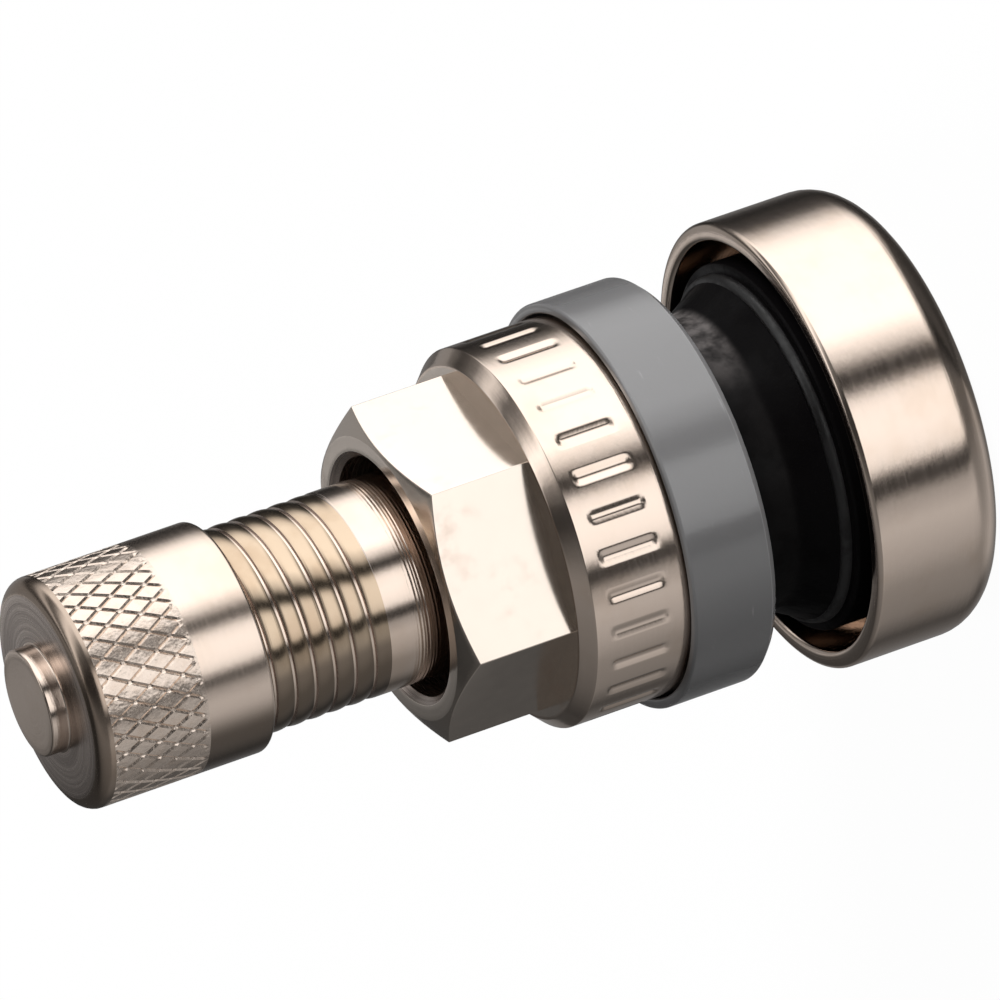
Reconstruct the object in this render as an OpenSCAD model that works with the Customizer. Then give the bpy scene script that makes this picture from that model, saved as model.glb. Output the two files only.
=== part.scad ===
// Clamp-in tyre valve for an alloy wheel, standing on its head with the mouth up.
// All sizes are in millimetres. The axis of the valve is Z, and the head's flat underside is Z = 0.

/* [Head] */
// Outside diameter of the cup-shaped head
head_d = 17.0; // [16:0.1:19]
// Height of the head from its underside to its rim
head_h = 5.4; // [4.8:0.1:6.4]
// Thickness of the head's side wall
head_wall = 0.7; // [0.5:0.05:0.9]
// Thickness of the head's floor
head_floor = 1.2; // [0.9:0.1:1.6]
// Radius of the head's outer lower edge
head_edge_r = 1.5; // [1.2:0.1:1.8]

/* [Stem] */
// Diameter of the plain neck inside the seal
neck_d = 8.3; // [7.9:0.1:8.5]
// Outside diameter of the thread that carries the nut
body_thread_d = 9.0; // [8.7:0.05:9.2]
// Pitch of the thread that carries the nut
body_thread_pitch = 0.75; // [0.5:0.05:1]
// Clear depth above the body thread, inside the nut
nut_recess = 4.8; // [3.5:0.1:5.5]
// Pitch of the mouth thread
mouth_thread_pitch = 0.794; // [0.6:0.002:0.9]
// Length of stem that shows between the nut and the cap
exposed_len = 6.67; // [6.4:0.01:9]
// Length of plain shank between the nut and the mouth thread
shank_len = 1.83; // [1:0.01:3]
// Diameter of the air passage through the head
air_hole_d = 3.2; // [2.6:0.1:3.4]

/* [Rim seal] */
// Diameter of the seal's neck, which fills the rim hole
seal_neck_d = 11.3; // [10.8:0.1:11.8]
// Diameter of the seal's flange inside the head
seal_flange_d = 14.0; // [13.6:0.1:14.4]
// Height of the seal's flange above the head's rim
seal_stand = 0.45; // [0.2:0.05:0.8]
// Diameter of the sealing shoulder that meets the rim
seal_shoulder_d = 13.3; // [12.6:0.1:13.4]
// Height of the sloping part between the shoulder and the neck
seal_slope_h = 1.3; // [0.6:0.1:1.6]
// Axial distance between the head's rim and the pressure ring
rim_gap = 3.64; // [3.4:0.02:5]

/* [Pressure ring] */
// Thickness of the ring's wall around the collar
ring_wall = 0.4; // [0.3:0.05:0.9]
// Height of the ring
ring_h = 3.38; // [2.4:0.02:4.4]
// Thickness of the ring's floor, which the nut bears on
ring_floor = 0.95; // [0.7:0.05:1.3]
// Bevel on the ring's edge beside the rim
ring_bevel = 0.25; // [0.1:0.05:0.35]

/* [Clamp nut] */
// Diameter of the nut's collar
collar_d = 14.4; // [13.6:0.1:14.4]
// Height of the nut's collar
collar_h = 6.56; // [5.6:0.02:8]
// Bevel at the collar's top edge
collar_bevel = 0.5; // [0.2:0.05:0.6]
// Width of the hexagon across its flats
hex_af = 11.0; // [10.5:0.1:11.4]
// Height of the hexagon
hex_h = 4.2; // [3.6:0.1:5]
// Angle of the chamfer on the corners at the hexagon's free end
hex_chamfer_angle = 25; // [15:1:32]

/* [Cap] */
// Outside diameter of the cap
cap_d = 8.7; // [8.2:0.05:9.6]
// Thickness of the cap's wall around its thread
cap_wall = 0.45; // [0.4:0.05:0.9]
// Height of the cap up to its crown, without the nub
cap_h = 7.03; // [6.4:0.01:8]
// Thickness of the cap's crown
cap_crown = 1.2; // [0.9:0.05:1.4]
// Radius of the cap's outer top edge
cap_edge_r = 0.45; // [0.3:0.05:0.5]
// Height of the plain band below the knurl
cap_band_h = 2.63; // [2:0.01:3.5]
// Number of knurl grooves around the cap, in each direction
knurl_starts = 37; // [30:1:44]
// Angle of the knurl grooves to the axis
knurl_angle = 30; // [25:1:35]
// Width of a knurl groove
knurl_groove_w = 0.16; // [0.1:0.02:0.2]
// Depth of a knurl groove
knurl_groove_d = 0.1; // [0.06:0.01:0.14]
// Diameter of the nub on the crown
nub_d = 4.0; // [3:0.1:5]
// Height of the nub
nub_h = 0.7; // [0.4:0.05:1]
// Thickness of the gasket inside the cap
cap_gasket_t = 0.95; // [0.6:0.05:1.2]

/* [Valve core] */
// Outside diameter of the plug's thread
plug_d = 5.2; // [5:0.05:5.4]
// Length of the plug
plug_len = 4.8; // [4.2:0.1:5.4]
// Depth of the plug's top below the mouth
plug_sink = 0.6; // [0.4:0.05:0.9]
// Width of the bar across the plug's top
plug_bar_w = 1.5; // [1.4:0.1:2]
// Diameter of the core's chamber below its seat
chamber_d = 3.9; // [3.8:0.05:4.1]
// Outside diameter of the barrel in the chamber
barrel_d = 3.4; // [3.1:0.05:3.5]
// Length of the barrel below its gasket
barrel_len = 7.8; // [6.8:0.1:8.6]
// Diameter of the barrel's spring bore
spring_bore_d = 1.9; // [1.8:0.05:2.1]
// Diameter of the pin
pin_d = 0.84; // [0.7:0.02:0.9]
// Distance that the pin travels when it is pressed
pin_travel = 2.0; // [1.2:0.1:2.4]
// Diameter of the spring's wire
spring_wire_d = 0.26; // [0.2:0.02:0.28]
// Number of turns in the spring
spring_turns = 11; // [8:1:14]

/* [Fits] */
// Radial clearance between threads and their holes
thread_clearance = 0.05; // [0.03:0.01:0.08]
// Clearance between faces that bear on each other
seat_clearance = 0.05; // [0.02:0.01:0.08]
// Radial clearance between the collar and the ring
slip_clearance = 0.1; // [0.05:0.01:0.15]
// Clearance around pieces that slide or pass freely
free_clearance = 0.3; // [0.2:0.02:0.35]

/* [Hidden] */

$fn = 96;
overcut = 1;
nickel = [0.79, 0.72, 0.65];
brass = [0.80, 0.66, 0.36];
black_rubber = [0.06, 0.06, 0.065];
grey_plastic = [0.42, 0.42, 0.43];
spring_steel = [0.62, 0.62, 0.64];
seal_red = [0.55, 0.10, 0.08];

// Stations along the axis, from the head to the cap
ring_z = head_h + rim_gap;
nut_z = ring_z + ring_floor + seat_clearance;
collar_top_z = nut_z + collar_h;
nut_top_z = collar_top_z + hex_h;
cap_z = nut_top_z + exposed_len;
crown_z = cap_z + cap_h;
gasket_top_z = crown_z - cap_crown - seat_clearance / 2;
gasket_z = gasket_top_z - cap_gasket_t;
mouth_z = gasket_z - seat_clearance;
body_thread_top_z = nut_top_z - nut_recess;

// Diameters and widths that follow from the sizes above
ring_d = collar_d + 2 * slip_clearance + 2 * ring_wall;
cap_bore_d = cap_d - 2 * cap_wall;
mouth_thread_d = cap_bore_d - 2 * thread_clearance;

// Small rounds, bevels and steps
flange_round_r = 0.4;
shoulder_round_r = 0.25;
seal_neck_bevel = 0.2;
slope_inset = 0.16;
ring_lip_bevel = 0.12;
collar_foot_bevel = 0.15;
nut_mouth_sink = 0.25;
cap_rear_bevel = 0.12;
crown_slope = 0.1;
nub_bevel = 0.12;
nub_foot_r = 0.25;
rim_round_r = 0.2;
neck_relief = 0.3;
air_hole_bevel = 0.4;
body_thread_depth = 0.65 * body_thread_pitch;
mouth_thread_depth = 0.6 * mouth_thread_pitch;
thread_bore_d = plug_d + 2 * thread_clearance;
mouth_bevel = 0.3;
nut_bore_d = body_thread_d + 2 * thread_clearance;
hex_corner_d = hex_af / cos(30);

// Threads: depth and flat crest as shares of the pitch, a little under the shafts that they run out into
thread_depth_share = 0.25;
thread_crest_share = 0.55;
thread_lap = 0.4;
thread_shy = 0.01;
thread_end_land = 0.15;
mouth_thread_turn = 132;
mouth_thread_z = nut_top_z + shank_len;
mouth_tip_z = mouth_z - mouth_thread_depth - thread_end_land;
body_thread_z = ring_z + body_thread_depth + thread_end_land;
body_tip_z = body_thread_top_z - body_thread_depth - thread_end_land;

// Knurl of the cap: rows of crossings, spread evenly over the drum that carries it
knurl_land = 0.12;
knurl_lap = 0.1;
knurl_shy = 0.01;
knurl_z = cap_z + cap_band_h;
crown_edge_z = crown_z - crown_slope;
knurl_top_z = crown_edge_z - cap_edge_r - knurl_land;
knurl_r = cap_d / 2 - knurl_shy;
knurl_pitch = 2 * PI * knurl_r / knurl_starts;
knurl_rows = round((knurl_top_z - knurl_z + 2 * knurl_lap) / (knurl_pitch / 2 / tan(knurl_angle)));
knurl_row_h = (knurl_top_z - knurl_z + 2 * knurl_lap) / knurl_rows;

// Core stations, from the mouth down
plug_top_z = mouth_z - plug_sink;
plug_z = plug_top_z - plug_len;
shoulder_gap = 0.15;
shoulder_h = 1.1;
shoulder_z = plug_z - shoulder_gap - shoulder_h;
core_gasket_h = 1.5;
seat_top_z = shoulder_z + free_clearance;
seat_slope = (thread_bore_d - chamber_d) / 2 / (core_gasket_h + 2 * free_clearance);
seat_z = seat_top_z - core_gasket_h - 2 * free_clearance;
gasket_foot_z = shoulder_z - core_gasket_h;
barrel_z = gasket_foot_z - barrel_len;
chamber_spare = 1.2;
pin_lip_w = 0.22;
ledge_h = 2.4;
spring_seat_z = barrel_z + ledge_h;
lip_h = 0.15;
washer_h = 0.8;
cup_floor = 0.3;
cup_lap = 0.45;
foot_h = 0.3;
washer_top_z = barrel_z - lip_h - seat_clearance;
washer_z = washer_top_z - washer_h;
cup_z = washer_z - cup_floor;
foot_z = cup_z - foot_h;
chamber_z = foot_z - pin_travel - chamber_spare;
pin_top_z = mouth_z - plug_sink / 2;

// Core radii
swivel_bore_d = 2.9;
swivel_wall = 0.4;
neck_top_gap = 0.3;
swivel_len = 1.5;
bead_h = 0.35;
bead_w = 0.15;
plug_bar_h = 1.7;
pin_hole_d = pin_d + free_clearance;
collar_stop_h = 0.4;
collar_stop_d = spring_bore_d - free_clearance;
collar_stop_z = plug_z + swivel_len - collar_stop_h;
cup_d = chamber_d - 2 * free_clearance;
cup_wall = 0.15;
washer_d = cup_d - 2 * cup_wall;

// One solid of revolution about the valve's axis, from a half section
module turned() rotate_extrude() children();

// Rectangle of a half section, between two radii and two stations
module band(r_low, r_high, z_low, z_high)
    translate([r_low, z_low]) square([r_high - r_low, z_high - z_low]);

// Waste outside a rounded outer corner of a half section; side is 1 at the top and -1 at the bottom
module corner_waste(r, z, radius, side) {
    difference() {
        translate([r - radius, side > 0 ? z - radius : z - overcut]) square(radius + overcut);
        translate([r - radius, z - side * radius]) circle(radius);
    }
}

// Half section of a shaft with a bevel at each end; a bevel is [radial, axial]
module bevelled_shaft(r, z_low, z_high, low = [0, 0], high = [0, 0])
    polygon([[0, z_low], [r - low[0], z_low], [r, z_low + low[1]],
             [r, z_high - high[1]], [r - high[0], z_high], [0, z_high]]);

// Ring of points around one place on a coil, square to its winding
function coil_ring(angle, z, coil_r, wire_r, sides) =
    [for (k = [0 : sides - 1])
        let (a = 360 * k / sides, r = coil_r + wire_r * cos(a))
        [r * cos(angle), r * sin(angle), z + wire_r * sin(a)]];

// Coil spring between two stations, as one swept solid
module coil(coil_r, wire_d, z_low, z_high, turns, sides = 6, steps_a_turn = 14) {
    steps = turns * steps_a_turn;
    rise = z_high - z_low - wire_d;
    points = [for (i = [0 : steps])
        each coil_ring(360 * i / steps_a_turn, z_low + wire_d / 2 + rise * i / steps, coil_r, wire_d / 2, sides)];
    walls = [for (i = [0 : steps - 1], k = [0 : sides - 1])
        let (a = i * sides + k, b = i * sides + (k + 1) % sides)
        each [[a, a + sides, b], [b, a + sides, b + sides]]];
    near_end = [for (k = [0 : sides - 1]) k];
    far_end = [for (k = [sides - 1 : -1 : 0]) steps * sides + k];
    polyhedron(points, concat(walls, [near_end, far_end]));
}

// Solid rod with a right-hand thread: a lattice of points climbs with the turn, and each end closes on one ring
module screw_thread(r, pitch, z_low, z_high, columns = 32) {
    places = [0, 0.5 - thread_crest_share / 2, 0.5 + thread_crest_share / 2];
    n = len(places);
    turns = ceil((z_high - z_low) / pitch);
    root_r = r - thread_depth_share * pitch;
    sliver = pitch / 40;
    function height(i, j) = z_low + pitch * (floor(i / n) - 1 + places[i % n] + j / columns);
    function corner(i, j) = j == columns ? corner(i + n, 0)
        : height(i, j) < z_low + sliver ? j
        : height(i, j) > z_high - sliver ? columns + j
        : (2 + i) * columns + j;
    function on_ring(radius, j, z) = [radius * cos(360 * j / columns), radius * sin(360 * j / columns), z];
    points = concat(
        [for (z = [z_low, z_high], j = [0 : columns - 1]) on_ring(root_r, j, z)],
        [for (i = [0 : n * (turns + 1)], j = [0 : columns - 1])
            on_ring(i % n == 0 ? root_r : r, j, height(i, j))]);
    walls = [for (i = [0 : n * (turns + 1) - 1], j = [0 : columns - 1])
        let (a = corner(i, j), b = corner(i, j + 1), c = corner(i + 1, j + 1), d = corner(i + 1, j))
        each [[a, d, c], [a, c, b]]];
    faces = [for (w = walls) if (w[0] != w[1] && w[1] != w[2] && w[2] != w[0]) w];
    foot = [for (j = [0 : columns - 1]) j];
    top = [for (j = [columns - 1 : -1 : 0]) columns + j];
    polyhedron(points, concat(faces, [foot, top]));
}

// The stem's outside: cup head, neck, body thread, shank and mouth thread, all turned as one
module stem_outside() {
    turned() {
        difference() {
            band(0, head_d / 2, 0, head_h);
            corner_waste(head_d / 2, 0, head_edge_r, -1);
            corner_waste(head_d / 2, head_h, rim_round_r, 1);
            head_recess();
        }
        band(0, neck_d / 2, 0, ring_z + neck_relief);
        bevelled_shaft(body_thread_d / 2, ring_z, body_thread_z, low = [body_thread_depth, body_thread_depth]);
        bevelled_shaft(body_thread_d / 2, body_tip_z, body_thread_top_z,
            high = [body_thread_depth, body_thread_depth]);
        band(0, mouth_thread_d / 2, ring_z, mouth_thread_z);
        bevelled_shaft(mouth_thread_d / 2, mouth_tip_z, mouth_z, high = [mouth_thread_depth, mouth_thread_depth]);
    }
    screw_thread(body_thread_d / 2 - thread_shy, body_thread_pitch,
        body_thread_z - thread_lap, body_tip_z + thread_lap);
    rotate(mouth_thread_turn) screw_thread(mouth_thread_d / 2 - thread_shy, mouth_thread_pitch,
        mouth_thread_z - thread_lap, mouth_tip_z + thread_lap);
}

// The recess in the head that holds the seal, with a filleted corner
module head_recess() {
    fillet_r = head_edge_r - head_wall;
    inner_r = head_d / 2 - head_wall;
    difference() {
        band(neck_d / 2, inner_r, head_floor, head_h + overcut);
        corner_waste(inner_r, head_floor, fillet_r, -1);
    }
}

// The passage through the stem: threaded mouth, core seat, chamber and air hole
module stem_passage() {
    turned() polygon([
        [0, -overcut],
        [air_hole_d / 2 + air_hole_bevel + overcut, -overcut],
        [air_hole_d / 2, air_hole_bevel],
        [air_hole_d / 2, chamber_z - (chamber_d - air_hole_d) / 2],
        [chamber_d / 2, chamber_z],
        [chamber_d / 2, seat_z],
        [thread_bore_d / 2, seat_top_z],
        [thread_bore_d / 2, mouth_z - mouth_bevel],
        [thread_bore_d / 2 + mouth_bevel + overcut, mouth_z + overcut],
        [0, mouth_z + overcut]]);
}

module valve_stem() {
    color(nickel) difference() {
        stem_outside();
        stem_passage();
    }
}

// Black rubber seal: a flange in the head, a shoulder for the rim and a neck for the rim hole
module rim_seal() {
    bore_r = neck_d / 2 + thread_clearance;
    flange_top_z = head_h + seat_clearance;
    shoulder_z = head_h + seal_stand;
    slope_top_z = shoulder_z + seal_slope_h;
    slope_foot_r = (seal_neck_d + seal_shoulder_d) / 4 + slope_inset;
    color(black_rubber) turned() difference() {
        union() {
            band(bore_r, seal_flange_d / 2, head_floor, flange_top_z);
            band(bore_r, seal_shoulder_d / 2, head_floor, shoulder_z);
            polygon([[bore_r, shoulder_z - shoulder_round_r], [slope_foot_r, shoulder_z - shoulder_round_r],
                     [slope_foot_r, shoulder_z], [seal_neck_d / 2, slope_top_z],
                     [seal_neck_d / 2, ring_z - seat_clearance - seal_neck_bevel],
                     [seal_neck_d / 2 - seal_neck_bevel, ring_z - seat_clearance],
                     [bore_r, ring_z - seat_clearance]]);
        }
        corner_waste(seal_flange_d / 2, head_floor, flange_round_r, -1);
    }
}

// Grey plastic ring that keeps the turning nut off the rim: a floor with a wall around the collar
module pressure_ring() {
    bore_r = body_thread_d / 2 + free_clearance;
    wall_r = collar_d / 2 + slip_clearance;
    top_z = ring_z + ring_h;
    color(grey_plastic) turned() polygon([
        [bore_r, ring_z],
        [ring_d / 2 - ring_bevel, ring_z],
        [ring_d / 2, ring_z + ring_bevel],
        [ring_d / 2, top_z - ring_lip_bevel],
        [ring_d / 2 - ring_lip_bevel, top_z],
        [wall_r + ring_lip_bevel, top_z],
        [wall_r, top_z - ring_lip_bevel],
        [wall_r, ring_z + ring_floor],
        [bore_r, ring_z + ring_floor]]);
}

// Hexagon with its free end turned to a chamfer, so its flats end in arcs there and run square into the collar
module chamfered_hexagon() {
    cut = (hex_corner_d - hex_af) / 2 * tan(hex_chamfer_angle);
    intersection() {
        translate([0, 0, collar_top_z - collar_bevel])
            cylinder(d = hex_corner_d, h = hex_h + collar_bevel, $fn = 6);
        turned() polygon([
            [0, collar_top_z - collar_bevel],
            [hex_corner_d / 2 + overcut, collar_top_z - collar_bevel],
            [hex_corner_d / 2 + overcut, nut_top_z - cut - overcut * tan(hex_chamfer_angle)],
            [hex_af / 2, nut_top_z],
            [0, nut_top_z]]);
    }
}

module clamp_nut() {
    bore_r = nut_bore_d / 2;
    color(nickel) difference() {
        union() {
            turned() bevelled_shaft(collar_d / 2, nut_z, collar_top_z,
                low = [collar_foot_bevel, collar_foot_bevel], high = [collar_bevel, collar_bevel]);
            chamfered_hexagon();
        }
        turned() polygon([
            [0, nut_z - overcut],
            [bore_r + nut_mouth_sink + overcut, nut_z - overcut],
            [bore_r, nut_z + nut_mouth_sink],
            [bore_r, nut_top_z - nut_mouth_sink],
            [bore_r + nut_mouth_sink + overcut, nut_top_z + overcut],
            [0, nut_top_z + overcut]]);
    }
}

// Place on the knurl, by radius, row and pitch around; odd rows stand half a pitch on
function knurl_point(r, row, around) =
    let (a = 360 * (around + (row % 2) / 2) / knurl_starts)
    [r * cos(a), r * sin(a), knurl_z - knurl_lap + row * knurl_row_h];

// Corners of a diamond's flat land, as west, north, east and south, shrunk from the groove lines
function knurl_land_corners(row, i, share) =
    let (mid = i + 0.5, along = share / 2, up = row + share, down = row - share,
         turn = 360 * (mid + (row % 2) / 2) / knurl_starts, foot = knurl_z - knurl_lap)
    [knurl_point(knurl_r, row, mid - along),
     [knurl_r * cos(turn), knurl_r * sin(turn), foot + up * knurl_row_h],
     knurl_point(knurl_r, row, mid + along),
     [knurl_r * cos(turn), knurl_r * sin(turn), foot + down * knurl_row_h]];

// Drum with a diamond knurl: groove lines cross at points, and each diamond has a flat land and four slopes
module knurl_drum() {
    n = knurl_starts;
    m = knurl_rows;
    half_width = knurl_pitch * knurl_row_h / 2 / norm([knurl_pitch / 2, knurl_row_h]);
    share = 1 - knurl_groove_w / 2 / half_width;
    crossings = [for (row = [0 : m], i = [0 : n - 1]) knurl_point(knurl_r - knurl_groove_d, row, i)];
    lands = [for (row = [0 : m], i = [0 : n - 1]) each knurl_land_corners(row, i, share)];
    function crossing(row, i) = row * n + i % n;
    function land(row, i) = (m + 1) * n + 4 * (row * n + i);
    faces = [for (row = [0 : m], i = [0 : n - 1])
        let (w = land(row, i), north = w + 1, e = w + 2, south = w + 3,
             cw = crossing(row, i), ce = crossing(row, i + 1),
             cn = crossing(min(row + 1, m), i + row % 2), cs = crossing(max(row - 1, 0), i + row % 2))
        each concat(
            row == 0 ? [[north, e, w]] : row == m ? [[e, south, w]] : [[north, e, south], [north, south, w]],
            row == m ? [] : [[cn, ce, e], [cn, e, north], [cw, cn, north], [cw, north, w]],
            row == 0 ? [] : [[ce, cs, south], [ce, south, e], [cs, cw, w], [cs, w, south]])];
    foot = [for (i = [0 : n - 1]) each [crossing(0, i), land(0, i), land(0, i) + 2]];
    top = [for (i = [n - 1 : -1 : 0]) each [land(m, i) + 2, land(m, i), crossing(m, i)]];
    polyhedron(concat(crossings, lands), concat(faces, [foot, top]));
}

// Screw cap: a plain band, a knurled drum and a crown with a rounded edge that slopes up to a nub
module valve_cap() {
    color(nickel) difference() {
        union() {
            turned() bevelled_shaft(cap_d / 2, cap_z, knurl_z, low = [cap_rear_bevel, cap_rear_bevel]);
            knurl_drum();
            turned() cap_crown_section();
        }
        turned() band(0, cap_bore_d / 2, cap_z - overcut, crown_z - cap_crown);
    }
}

// Half section of the cap above its knurl
module cap_crown_section() {
    face_r = cap_d / 2 - cap_edge_r;
    difference() {
        band(0, cap_d / 2, knurl_top_z, crown_edge_z);
        corner_waste(cap_d / 2, crown_edge_z, cap_edge_r, 1);
    }
    polygon([[0, knurl_top_z], [face_r, knurl_top_z], [face_r, crown_edge_z],
             [nub_d / 2 + nub_foot_r, crown_z], [nub_d / 2, crown_z + nub_foot_r],
             [nub_d / 2, crown_z + nub_h - nub_bevel], [nub_d / 2 - nub_bevel, crown_z + nub_h],
             [0, crown_z + nub_h]]);
}

// Rubber disc under the cap's crown
module cap_gasket() {
    color(black_rubber) turned()
        band(0, mouth_thread_d / 2 - thread_clearance, gasket_z, gasket_top_z);
}

// Screw plug of the core: a bar for the key at its top, and a swivel socket for the barrel below
module core_plug() {
    groove_z = plug_z + swivel_len - bead_h - seat_clearance;
    swivel_r = swivel_bore_d / 2;
    color(brass) difference() {
        translate([0, 0, plug_z]) cylinder(d = plug_d, h = plug_len);
        for (side = [-1, 1])
            translate([side > 0 ? plug_bar_w / 2 : -plug_bar_w / 2 - plug_d, -plug_d, plug_top_z - plug_bar_h])
                cube([plug_d, 2 * plug_d, plug_bar_h + overcut]);
        turned() {
            band(0, swivel_r, plug_z - overcut, plug_z + swivel_len + neck_top_gap);
            band(0, swivel_r + bead_w, groove_z, plug_z + swivel_len + neck_top_gap);
            band(0, pin_hole_d / 2, plug_z, plug_top_z + overcut);
            band(0, spring_bore_d / 2, plug_z, plug_top_z - plug_bar_h);
        }
    }
}

// Barrel of the core: a beaded swivel neck, a shoulder, a groove for the gasket and a tube with a seat lip
module core_barrel() {
    neck_r = swivel_bore_d / 2 - thread_clearance;
    shoulder_r = thread_bore_d / 2 - free_clearance;
    bore_r = spring_bore_d / 2;
    ledge_r = pin_hole_d / 2;
    lip_r = ledge_r + pin_lip_w;
    groove_r = barrel_d / 2 - swivel_wall / 2;
    neck_top_z = plug_z + swivel_len;
    color(brass) turned() difference() {
        union() {
            band(0, neck_r, shoulder_z, neck_top_z);
            band(0, neck_r + bead_w, neck_top_z - bead_h, neck_top_z);
            band(0, shoulder_r, shoulder_z, shoulder_z + shoulder_h);
            band(0, groove_r, gasket_foot_z, shoulder_z);
            band(0, barrel_d / 2, barrel_z, gasket_foot_z);
            band(0, lip_r, barrel_z - lip_h, barrel_z);
        }
        band(0, bore_r, spring_seat_z, neck_top_z + overcut);
        band(0, ledge_r, barrel_z - lip_h - overcut, spring_seat_z + overcut);
    }
}

// Conical gasket that seals the barrel in the stem's seat
module core_gasket() {
    inner_r = barrel_d / 2 - swivel_wall / 2 + seat_clearance / 2;
    foot_r = chamber_d / 2 + (gasket_foot_z - seat_z) * seat_slope - seat_clearance;
    top_r = chamber_d / 2 + (shoulder_z - seat_z) * seat_slope - seat_clearance;
    edge_gap = seat_clearance / 2;
    color(seal_red) turned() polygon([
        [inner_r, gasket_foot_z + edge_gap], [foot_r, gasket_foot_z + edge_gap],
        [top_r, shoulder_z - edge_gap], [inner_r, shoulder_z - edge_gap]]);
}

// Pin with a spring collar near its top and a riveted foot
module core_pin() {
    foot_r = pin_d / 2 + 2 * cup_wall;
    tip_bevel = pin_d / 6;
    color(brass) turned() {
        bevelled_shaft(pin_d / 2, foot_z, pin_top_z, high = [tip_bevel, tip_bevel]);
        band(0, collar_stop_d / 2, collar_stop_z, collar_stop_z + collar_stop_h);
        bevelled_shaft(foot_r, foot_z, cup_z - seat_clearance / 2, low = [cup_wall, cup_wall]);
    }
}

// Spring that holds the pin up, between the barrel's ledge and the pin's collar
module core_spring() {
    coil_r = (spring_bore_d - spring_wire_d) / 2 - thread_clearance;
    color(spring_steel) coil(coil_r, spring_wire_d, spring_seat_z + seat_clearance,
        collar_stop_z - seat_clearance, spring_turns);
}

// Brass cup that carries the washer on the pin
module core_cup() {
    hole_r = pin_d / 2 + thread_clearance;
    color(brass) turned() {
        band(hole_r, cup_d / 2, cup_z, washer_z);
        band(cup_d / 2 - cup_wall, cup_d / 2, cup_z, washer_z + cup_lap);
    }
}

// Rubber washer that closes on the barrel's lip
module core_washer() {
    hole_r = pin_d / 2 + thread_clearance;
    color(black_rubber) turned()
        band(hole_r, washer_d / 2 - seat_clearance / 2, washer_z + seat_clearance / 2, washer_top_z);
}

valve_stem();
rim_seal();
pressure_ring();
clamp_nut();
valve_cap();
cap_gasket();
core_plug();
core_barrel();
core_gasket();
core_pin();
core_spring();
core_cup();
core_washer();
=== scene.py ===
"""Looks of a clamp-in tyre valve: warm plated metal, black rubber, a grey plastic ring and a brass core."""

import math

import bmesh
import bpy
from mathutils import Matrix, Vector


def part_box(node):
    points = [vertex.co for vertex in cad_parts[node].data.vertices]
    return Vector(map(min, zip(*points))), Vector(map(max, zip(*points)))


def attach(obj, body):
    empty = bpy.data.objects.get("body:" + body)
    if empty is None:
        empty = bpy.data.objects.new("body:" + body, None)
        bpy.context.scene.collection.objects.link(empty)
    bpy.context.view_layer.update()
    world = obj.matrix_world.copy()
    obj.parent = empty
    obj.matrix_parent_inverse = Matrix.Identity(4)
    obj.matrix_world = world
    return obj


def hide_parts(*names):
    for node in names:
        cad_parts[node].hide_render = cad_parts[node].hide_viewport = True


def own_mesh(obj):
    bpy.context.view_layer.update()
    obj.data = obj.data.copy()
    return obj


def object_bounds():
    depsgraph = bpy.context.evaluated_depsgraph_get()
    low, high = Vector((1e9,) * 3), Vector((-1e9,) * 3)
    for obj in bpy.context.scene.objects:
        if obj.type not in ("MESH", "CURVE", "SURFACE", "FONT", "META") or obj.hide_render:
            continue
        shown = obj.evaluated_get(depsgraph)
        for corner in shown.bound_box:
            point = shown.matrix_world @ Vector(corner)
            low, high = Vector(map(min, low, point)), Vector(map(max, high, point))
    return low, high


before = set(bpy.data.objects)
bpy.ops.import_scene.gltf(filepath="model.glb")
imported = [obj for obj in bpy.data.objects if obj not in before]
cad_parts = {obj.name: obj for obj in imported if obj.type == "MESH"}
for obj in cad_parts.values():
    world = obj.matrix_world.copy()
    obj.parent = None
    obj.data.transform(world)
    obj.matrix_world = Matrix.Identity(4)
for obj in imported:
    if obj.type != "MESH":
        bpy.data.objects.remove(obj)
cad_low, cad_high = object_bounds()

MM = 0.001


def node_box(node):
    """Lowest and highest corner of a solid at rest, in millimetres."""
    low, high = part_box(node)
    return low / MM, high / MM


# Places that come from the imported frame, in millimetres
stem_high = node_box("valve_stem")[1]
seal_low, seal_high = node_box("rim_seal")
ring_low, ring_high = node_box("pressure_ring")
nut_low, nut_high = node_box("clamp_nut")
cap_low, cap_high = node_box("valve_cap")

HEAD_R = stem_high.x
MOUTH_Z = stem_high.z
SEAL_R = seal_high.x
SEAL_FOOT_Z = seal_low.z
SEAL_TOP_Z = seal_high.z
RING_R = ring_high.x
RING_Z = ring_low.z
RING_TOP_Z = ring_high.z
COLLAR_R = nut_high.x
NUT_Z = nut_low.z
NUT_TOP_Z = nut_high.z
CAP_R = 4.35
CAP_Z = cap_low.z
NUB_TOP_Z = cap_high.z

# Sizes of the stem in millimetres, with the start of its mouth thread in degrees
HEAD_H = 5.4
HEAD_WALL = 0.7
HEAD_FLOOR = 1.2
HEAD_EDGE_R = 1.5
HEAD_RIM_R = 0.26
HEAD_RIM_INNER_R = 0.2
CUP_CORNER_R = 0.8
NECK_R = 4.15
BODY_THREAD_R = 4.5
BODY_THREAD_FOOT_Z = RING_Z + 0.1375
BODY_THREAD_PITCH = 0.75
BODY_THREAD_BEVEL = 0.4875
BODY_THREAD_TOP_Z = 16.0
MOUTH_THREAD_R = 3.85
MOUTH_THREAD_PITCH = 0.794
MOUTH_THREAD_BEVEL = 0.4764
MOUTH_THREAD_Z = 22.63
MOUTH_THREAD_TURN = 132
THREAD_DEPTH_SHARE = 0.17
THREAD_LAP = 0.4
THREAD_END_LAND = 0.15
PLUG_BORE_R = 2.65
SEAT_TOP_Z = 25.925
SEAT_Z = 23.825
CHAMBER_R = 1.95
CHAMBER_Z = 11.525
CHAMBER_CONE = 0.35
AIR_HOLE_R = 1.6
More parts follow.
